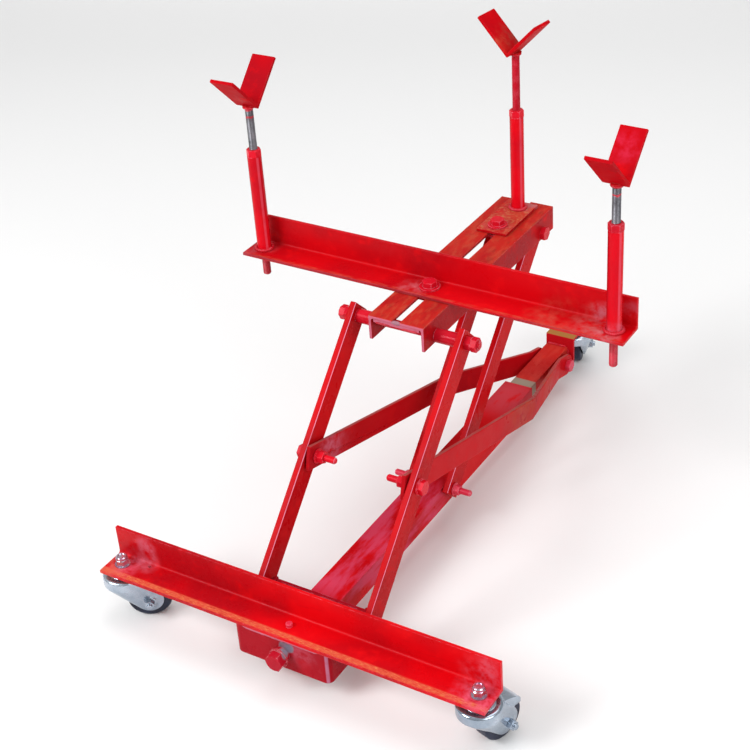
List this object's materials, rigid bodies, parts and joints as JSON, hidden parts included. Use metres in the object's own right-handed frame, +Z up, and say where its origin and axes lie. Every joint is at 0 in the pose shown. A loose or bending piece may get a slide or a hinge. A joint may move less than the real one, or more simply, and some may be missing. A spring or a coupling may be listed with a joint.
{
  "type": "transmission jack",
  "caption": "Screw-driven transmission jack: T base on swivel casters, folding parallel arms, slotted top frame with cross beam and height-adjustable V saddles.",
  "frame": {"origin": "floor level under the middle of the jack's overall box (7 mm to the right of its mirror plane)", "axes": "+X along the cross beams to the right, +Y from the drive hexagon to the rear caster, +Z up"},
  "size_m": [0.6413, 0.9744, 0.6954],
  "materials": {
    "red_paint": "gloss enamel, worn at edges",
    "zinc": "bright zinc plate",
    "bare_steel": "bare threaded steel",
    "wheel": "dark smooth tread"
  },
  "bodies": {
    "base": {"front_beam": "red_paint", "beam_plug": "red_paint", "screw_box": "red_paint", "channel_web": "red_paint", "base_channel": "red_paint", "rear_pivot_studs": "red_paint", "rear_pivot_nuts": "red_paint", "front_pivot_bolts": "red_paint", "front_pivot_nuts": "red_paint", "front_caster_stems": "zinc"},
    "drive_screw": {"drive_screw": "red_paint"},
    "slide_tube": {"slide_tube": "red_paint", "screw_nut": "bare_steel", "rear_bracket": "red_paint", "rear_caster_stem": "zinc"},
    "front_arms": {"front_arm_left": "red_paint", "front_arm_right": "red_paint", "cross_shaft": "red_paint", "shaft_nuts": "red_paint", "spacer_tubes": "red_paint", "mid_pivot_bolts": "red_paint", "mid_pivot_nuts": "red_paint"},
    "rear_arms": {"rear_arm_left": "red_paint", "rear_arm_right": "red_paint"},
    "push_links": {"link_left": "red_paint", "link_right": "red_paint", "link_pins": "red_paint"},
    "top_frame": {"rail_left": "red_paint", "rail_right": "red_paint", "rail_straps": "red_paint", "rear_top_bolts": "red_paint", "rear_top_nuts": "red_paint"},
    "cross_clamp": {"cross_clamp": "red_paint"},
    "cross_beam": {"cross_beam": "red_paint", "post_left": "red_paint", "post_right": "red_paint", "post_nut_left": "red_paint", "post_nut_right": "red_paint"},
    "plate_clamp": {"plate_clamp": "red_paint"},
    "rear_plate": {"rear_plate": "red_paint", "post_center": "red_paint", "post_nut_center": "red_paint"},
    "rod_left": {"rod_left": "bare_steel"},
    "saddle_left": {"saddle_left": "red_paint"},
    "rod_right": {"rod_right": "bare_steel"},
    "saddle_right": {"saddle_right": "red_paint"},
    "rod_center": {"rod_center": "red_paint"},
    "saddle_center": {"saddle_center": "red_paint"},
    "caster_left": {"fork_left": "zinc", "axle_left": "zinc"},
    "wheel_left": {"wheel_left": "wheel"},
    "caster_right": {"fork_right": "zinc", "axle_right": "zinc"},
    "wheel_right": {"wheel_right": "wheel"},
    "caster_rear": {"fork_rear": "zinc", "axle_rear": "zinc"},
    "wheel_rear": {"wheel_rear": "wheel"}
  },
  "joints": [
    {"name": "screw_turn", "type": "hinge", "parent": "base", "child": "drive_screw", "pos_m": [-0.007, -0.4655, 0.0565], "axis": [0, 1, 0], "continuous": true},
    {"name": "arm_raise", "type": "hinge", "parent": "base", "child": "front_arms", "pos_m": [-0.007, -0.3855, 0.066], "axis": [1, 0, 0], "range_deg": [-30, 14]},
    {"name": "rear_arm_raise", "type": "hinge", "parent": "base", "child": "rear_arms", "pos_m": [-0.007, -0.0535, 0.066], "axis": [1, 0, 0], "range_deg": [-30.5, 14.5]},
    {"name": "frame_level", "type": "hinge", "parent": "front_arms", "child": "top_frame", "pos_m": [-0.007, -0.0965, 0.3615], "axis": [1, 0, 0], "range_deg": [-14.5, 30.5]},
    {"name": "link_fold", "type": "hinge", "parent": "front_arms", "child": "push_links", "pos_m": [-0.007, -0.241, 0.21375], "axis": [1, 0, 0], "range_deg": [-18.14, 38.3]},
    {"name": "tube_slide", "type": "slide", "parent": "base", "child": "slide_tube", "axis": [0, 1, 0], "range_m": [-0.042, 0.086]},
    {"name": "cross_slide", "type": "slide", "parent": "top_frame", "child": "cross_clamp", "axis": [0, 1, 0], "range_m": [-0.055, 0.07]},
    {"name": "cross_swing", "type": "hinge", "parent": "cross_clamp", "child": "cross_beam", "pos_m": [-0.007, -0.034, 0.394], "axis": [0, 0, 1], "range_deg": [-20, 20]},
    {"name": "plate_slide", "type": "slide", "parent": "top_frame", "child": "plate_clamp", "axis": [0, 1, 0], "range_m": [-0.05, 0.012]},
    {"name": "plate_swing", "type": "hinge", "parent": "plate_clamp", "child": "rear_plate", "pos_m": [-0.007, 0.174, 0.394], "axis": [0, 0, 1], "range_deg": [-90, 90]},
    {"name": "rod_left_height", "type": "slide", "parent": "cross_beam", "child": "rod_left", "axis": [0, 0, 1], "range_m": [-0.06, 0.15]},
    {"name": "saddle_left_turn", "type": "hinge", "parent": "rod_left", "child": "saddle_left", "pos_m": [-0.2895, -0.0335, 0.619], "axis": [0, 0, 1], "continuous": true},
    {"name": "rod_right_height", "type": "slide", "parent": "cross_beam", "child": "rod_right", "axis": [0, 0, 1], "range_m": [-0.048, 0.15]},
    {"name": "saddle_right_turn", "type": "hinge", "parent": "rod_right", "child": "saddle_right", "pos_m": [0.2735, -0.0335, 0.607], "axis": [0, 0, 1], "continuous": true},
    {"name": "rod_center_height", "type": "slide", "parent": "rear_plate", "child": "rod_center", "axis": [0, 0, 1], "range_m": [-0.075, 0.055]},
    {"name": "saddle_center_turn", "type": "hinge", "parent": "rod_center", "child": "saddle_center", "pos_m": [-0.0055, 0.239, 0.641], "axis": [0, 0, 1], "continuous": true},
    {"name": "caster_left_swivel", "type": "hinge", "parent": "base", "child": "caster_left", "pos_m": [-0.291, -0.4401, 0.075], "axis": [0, 0, 1], "continuous": true},
    {"name": "wheel_left_roll", "type": "hinge", "parent": "caster_left", "child": "wheel_left", "pos_m": [-0.26592, -0.42188, 0.03175], "axis": [0.5878, -0.809, 0], "continuous": true},
    {"name": "caster_right_swivel", "type": "hinge", "parent": "base", "child": "caster_right", "pos_m": [0.277, -0.4401, 0.075], "axis": [0, 0, 1], "continuous": true},
    {"name": "wheel_right_roll", "type": "hinge", "parent": "caster_right", "child": "wheel_right", "pos_m": [0.28554, -0.4103, 0.03175], "axis": [0.9613, -0.2756, 0], "continuous": true},
    {"name": "caster_rear_swivel", "type": "hinge", "parent": "slide_tube", "child": "caster_rear", "pos_m": [0.002, 0.4265, 0.075], "axis": [0, 0, 1], "range_deg": [-113, 77]},
    {"name": "wheel_rear_roll", "type": "hinge", "parent": "caster_rear", "child": "wheel_rear", "pos_m": [-0.00758, 0.45598, 0.03175], "axis": [0.9511, 0.309, 0], "continuous": true}
  ],
  "couplings": [
    {"joint": "rear_arm_raise", "follows": "arm_raise", "ratio": 1},
    {"joint": "frame_level", "follows": "arm_raise", "ratio": -1},
    {"joint": "link_fold", "follows": "arm_raise", "ratio": -1.26},
    {"joint": "tube_slide", "follows": "arm_raise", "m_per_rad": -0.16}
  ]
}
